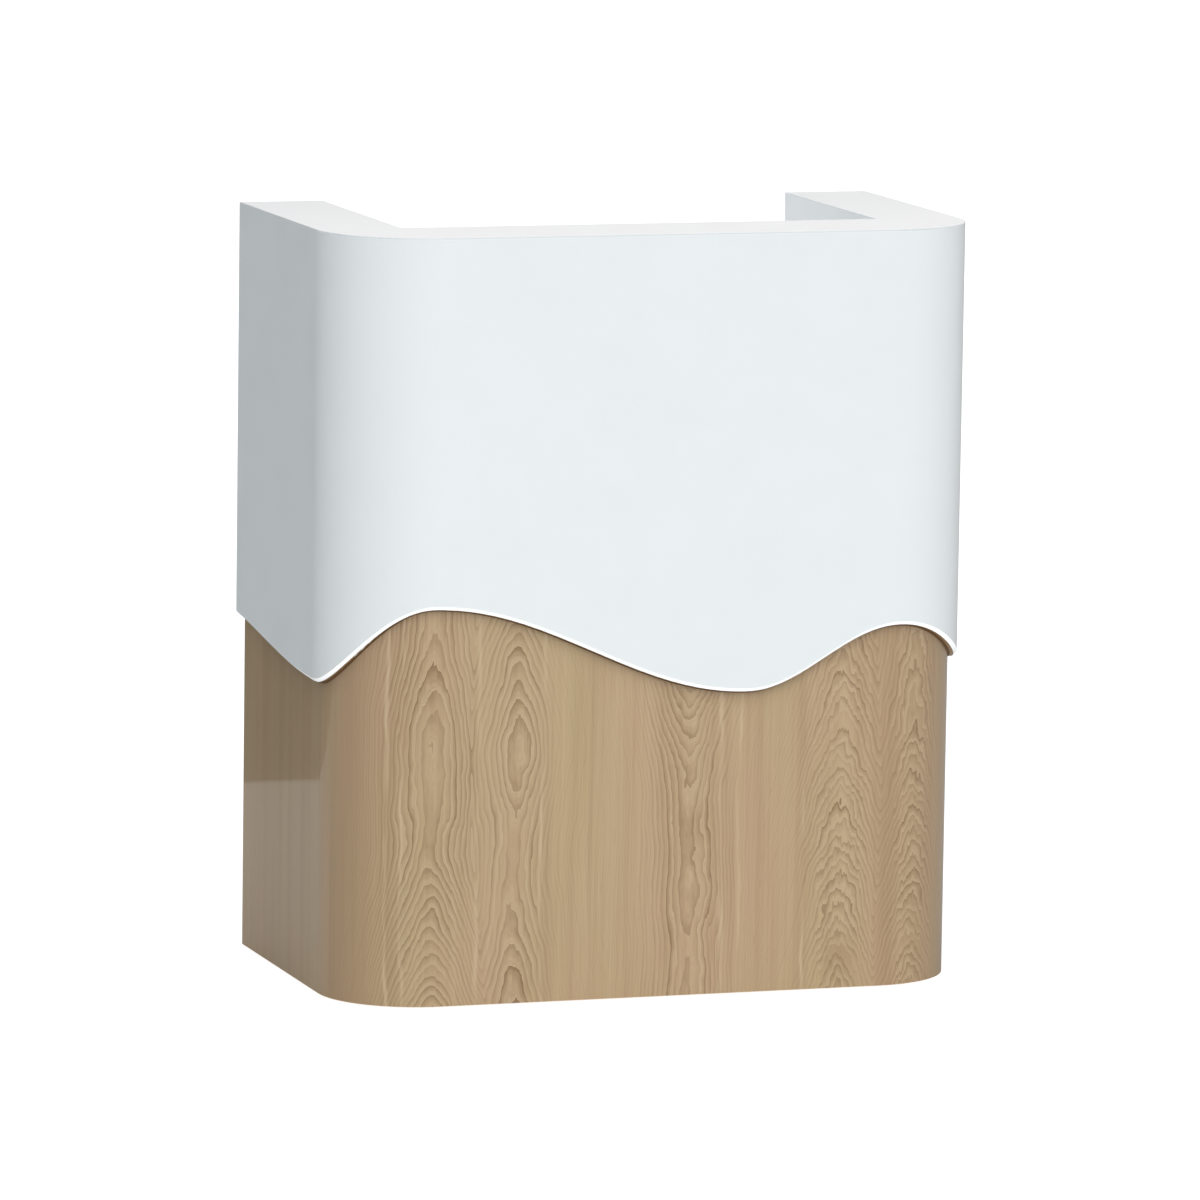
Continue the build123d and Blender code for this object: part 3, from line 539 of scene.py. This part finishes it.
def zinc_steel(shader):
    """Bright zinc plate with a soft bluish mottle and fine rolling lines."""
    place = shader.place()
    mottle = shader.noise(place, 60.0, detail=4.0)
    lines = shader.noise(shader.stretched(place, (300.0, 8.0, 900.0)), detail=2.0)
    colour = shader.blend(
        shader.span(mottle, 0.35, 0.65), srgb(178, 183, 190), srgb(202, 204, 206)
    )
    return {
        "Base Color": colour,
        "Metallic": 1.0,
        "Roughness": shader.span(mottle, 0.3, 0.7, 0.25, 0.42),
        "Normal": shader.bump(lines, 0.12, 0.0002),
    }


def satin_nickel(shader):
    """Brushed metal, warm grey, with brush lines that run both long ways."""
    place = shader.place()
    fine = shader.noise(shader.stretched(place, (60.0, 2600.0, 2600.0)), detail=2.0)
    dull = shader.noise(place, 35.0, detail=3.0)
    colour = shader.blend(
        shader.span(dull, 0.35, 0.7), srgb(196, 191, 182), srgb(182, 177, 168)
    )
    return {
        "Base Color": colour,
        "Metallic": 1.0,
        "Roughness": shader.span(fine, 0.2, 0.8, 0.22, 0.38),
        "Normal": shader.bump(fine, 0.08, 0.0001),
    }


def lock_chrome(shader):
    """Polished chrome with fine key scratches round the slot."""
    place = shader.place()
    scratches = shader.noise(shader.stretched(place, (2400.0, 300.0, 700.0)), detail=3.0)
    wear = shader.span(scratches, 0.55, 0.75)
    return {
        "Base Color": shader.blend(wear, srgb(222, 224, 226), srgb(170, 170, 168)),
        "Metallic": 1.0,
        "Roughness": shader.span(scratches, 0.3, 0.8, 0.08, 0.30),
        "Normal": shader.bump(scratches, 0.06, 0.0001),
    }


def moulded_plastic(light, dark):
    """Moulded plastic with a fine spark-eroded texture."""
    def build(shader):
        place = shader.place()
        texture = shader.noise(place, 1500.0, detail=2.0)
        cloud = shader.noise(place, 40.0, detail=2.0)
        return {
            "Base Color": shader.blend(shader.span(cloud, 0.3, 0.7), dark, light),
            "Roughness": shader.span(texture, 0.3, 0.7, 0.45, 0.60),
            "Normal": shader.bump(texture, 0.25, 0.0002),
        }
    return build


def bead_sealant_and_shade(shader):
    """Wood-brown acrylic sealant, slightly uneven, and kept very dark: partly painted shade in
    the joint under the wave.
    """
    place = shader.place()
    lumps = shader.noise(place, 260.0, detail=3.0)
    return {
        # partly painted shade: the bead's brown is kept very dark
        "Base Color": shader.blend(lumps, srgb(78, 54, 28), srgb(96, 69, 39)),
        "Roughness": shader.span(lumps, 0.3, 0.7, 0.5, 0.7),
        "Normal": shader.bump(lumps, 0.2, 0.0005),
    }


def dress():
    """Gives every node of the frame its material."""
    ply = {axis: material(f"birch_plywood_{axis}", plywood(i)) for i, axis in enumerate("xyz")}
    by_slot = {
        "white_lacquer": material("white_lacquer", white_lacquer),
        "ash_veneer": material("ash_veneer", ash_veneer),
        "birch_plywood": ply["z"],
        "white_board": material("white_board", white_board),
        "zinc_steel": material("zinc_steel", zinc_steel),
        "satin_nickel": material("satin_nickel", satin_nickel),
        "lock_chrome": material("lock_chrome", lock_chrome),
        "grey_plastic": material(
            "grey_plastic", moulded_plastic(srgb(150, 152, 154), srgb(140, 142, 145))
        ),
        "glide_plastic": material(
            "glide_plastic", moulded_plastic(srgb(52, 52, 54), srgb(44, 44, 46))
        ),
    }
    by_ending = {
        "_drawer_sides": ply["x"], "_box_front": ply["y"], "_box_back": ply["y"],
        "white_shell": material("shell_lacquer", shell_lacquer),
    }
    for part in frame["record"]["subparts"]:
        node = frame["nodes"][part["node"]]
        chosen = by_slot[part["material_slot"]]
        for ending, other in by_ending.items():
            if part["node"].endswith(ending):
                chosen = other
        for place in node.material_slots:
            place.material = chosen


# ------------------------------------------------------------------------ wave bead
BEAD_LEG = 0.0032           # the bead's reach along the shell's underside and the skin
BEAD_SINK = 0.0003          # how far the bead sinks into both
BEAD_SECTION = ((0.0, 0.0), (1.0, 0.0), (0.75, 0.35), (0.35, 0.75), (0.0, 1.0))
UPRIGHT = 0.1               # the most that an upright face's normal rises or falls
UNDER = -0.4                # the least that an underside's normal falls


def lower_inner_edges(node):
    """Pairs of points along the edge where the shell's inner face meets its underside,
    each with the direction that points out of the wall."""
    mesh = node.data
    normals_at = {}
    for face in mesh.polygons:
        for pair in face.edge_keys:
            ends = [tuple(round(c, 6) for c in mesh.vertices[i].co) for i in pair]
            normals_at.setdefault(tuple(sorted(ends)), []).append(face.normal)
    for ends, normals in sorted(normals_at.items()):
        if len(normals) != 2:
            continue
        level, under = sorted(normals, key=lambda normal: -normal.z)
        if abs(level.z) > UPRIGHT or under.z > UNDER:
            continue
        start, end = map(Vector, ends)
        middle = (start + end) / 2
        outward = -Vector((level.x, level.y, 0)).normalized()
        if outward.dot(Vector((middle.x, min(middle.y, 0), 0))) > 0:
            yield start, end, outward


def make_bead():
    """The thin brown bead of sealant that closes the joint under the wave; its very dark brown
    is partly painted shade in that joint.
    """
    points, faces = [], []
    count = len(BEAD_SECTION)
    for start, end, outward in lower_inner_edges(frame["nodes"]["white_shell"]):
        first = len(points)
        for place in (start, end):
            corner = place - outward * BEAD_SINK + Vector((0, 0, BEAD_SINK))
            for out, down in BEAD_SECTION:
                drop = Vector((0, 0, down * BEAD_LEG))
                points.append(corner + outward * out * BEAD_LEG - drop)
        for i in range(count):
            j = (i + 1) % count
            faces.append((first + i, first + j, first + count + j, first + count + i))
    mesh = bpy.data.meshes.new("wave_bead")
    mesh.from_pydata(points, [], faces)
    bead = bpy.data.objects.new("wave_bead", mesh)
    bpy.context.collection.objects.link(bead)
    mesh.materials.append(material("bead_sealant_and_shade", bead_sealant_and_shade))
    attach(bead, "counter")


# ------------------------------------------------------------------ floor and light
FLOOR_REACH = 80.0                  # from the counter to each edge of the floor
FLOOR_SOFT = (0.42, 0.42, 0.42)     # what lights the counter
FLOOR_DULL = (0.35, 0.33, 0.30)     # what its glossy surfaces show
FLOOR_PALE = (0.40, 0.40, 0.40)     # what is seen, together with the glow
FLOOR_GLOW = 0.78
ROOM = (0.410, 0.450, 0.490)        # the light from all round; the camera sees white
WHITE = (1.0, 1.0, 1.0)

WALL_Y = 1.52
REFLECTED = (               # cards on the wall: name, from..to in X, from..to in Z, light
    ("dark_card", (-30.0, -0.3), (0.0, 6.0), (0.08, 0.08, 0.07)),
    ("low_bright_card", (-0.3, 0.35), (0.40, 1.01), (1.5, 1.5, 1.5)),
    ("middle_card", (-0.3, 6.0), (1.01, 1.20), (0.15, 0.15, 0.15)),
    ("high_bright_card", (-0.3, 6.0), (1.20, 6.0), (1.08, 1.05, 1.04)),
)

SUNS = (                    # name, where it stands, irradiance, degrees across, tone
    ("front", (0.0, -0.36, 0.34), 0.60, 56, (0.98, 0.98, 0.97)),
    ("overhead", (0.0, -0.13, 0.40), 0.22, 40, (1.0, 0.96, 0.94)),
    ("fill", (-0.45, 0.80, 0.50), 0.23, 80, WHITE),
    ("bounce", (0.0, -0.06, -1.0), 0.98, 10, (0.97, 1.0, 1.01)),
)


def make_card(name, corners, surface_of):
    """A flat four-cornered sheet."""
    mesh = bpy.data.meshes.new(name)
    mesh.from_pydata(corners, [], [(0, 1, 2, 3)])
    mesh.materials.append(surface_material(name, surface_of))
    made = bpy.data.objects.new(name, mesh)
    bpy.context.collection.objects.link(made)
    return made


def floor_surface(shader):
    rays = shader.node("ShaderNodeLightPath").outputs
    shown = shader.node(
        "ShaderNodeAddShader",
        {0: shader.diffuse(FLOOR_PALE), 1: shader.emission(WHITE, FLOOR_GLOW)},
    )
    unseen = shader.either(
        rays["Is Glossy Ray"], shader.diffuse(FLOOR_SOFT), shader.diffuse(FLOOR_DULL)
    )
    return shader.either(rays["Is Camera Ray"], unseen, shown.outputs[0])


def make_floor():
    """A pale floor, shown nearly white, that throws back a softer light.  It casts no
    shadow, so the bounce sun shines up through it."""
    reach = FLOOR_REACH
    corners = [(-reach, -reach, 0), (reach, -reach, 0), (reach, reach, 0), (-reach, reach, 0)]
    floor = make_card("floor", corners, floor_surface)
    floor.visible_shadow = False


def make_wall_reflections():
    """Cards behind the counter that only its glossy surfaces see."""
    for name, (low_x, high_x), (low_z, high_z), tone in REFLECTED:
        corners = [
            (low_x, WALL_Y, low_z), (high_x, WALL_Y, low_z),
            (high_x, WALL_Y, high_z), (low_x, WALL_Y, high_z),
        ]
        wall = make_card(name, corners, lambda shader, tone=tone: shader.emission(tone))
        for ray in ("camera", "diffuse", "transmission", "volume_scatter", "shadow"):
            setattr(wall, f"visible_{ray}", False)


def make_sun(name, towards, irradiance, spread, tone):
    """A soft distant light that comes from the direction towards; glossy surfaces don't
    mirror it."""
    data = bpy.data.lights.new(name, "SUN")
    data.energy = irradiance * math.pi
    data.angle = math.radians(spread)
    data.color = tone
    sun = bpy.data.objects.new(name, data)
    sun.rotation_euler = Vector(towards).to_track_quat("Z", "Y").to_euler()
    sun.visible_glossy = False
    bpy.context.collection.objects.link(sun)


def make_world():
    world = bpy.data.worlds.new("studio")
    bpy.context.scene.world = world
    world.use_nodes = True
    shader = Shader(world.node_tree)
    seen = shader.node("ShaderNodeLightPath").outputs["Is Camera Ray"]
    room, white = (
        shader.node("ShaderNodeBackground", {"Color": tone}).outputs[0] for tone in (ROOM, WHITE)
    )
    shader.node("ShaderNodeOutputWorld", {"Surface": shader.either(seen, room, white)})


def light():
    make_world()
    make_floor()
    make_wall_reflections()
    for sun in SUNS:
        make_sun(*sun)
    bpy.context.scene.view_settings.view_transform = "Standard"


# --------------------------------------------------------------------------- making
make_camera()
dress()
make_bead()
light()
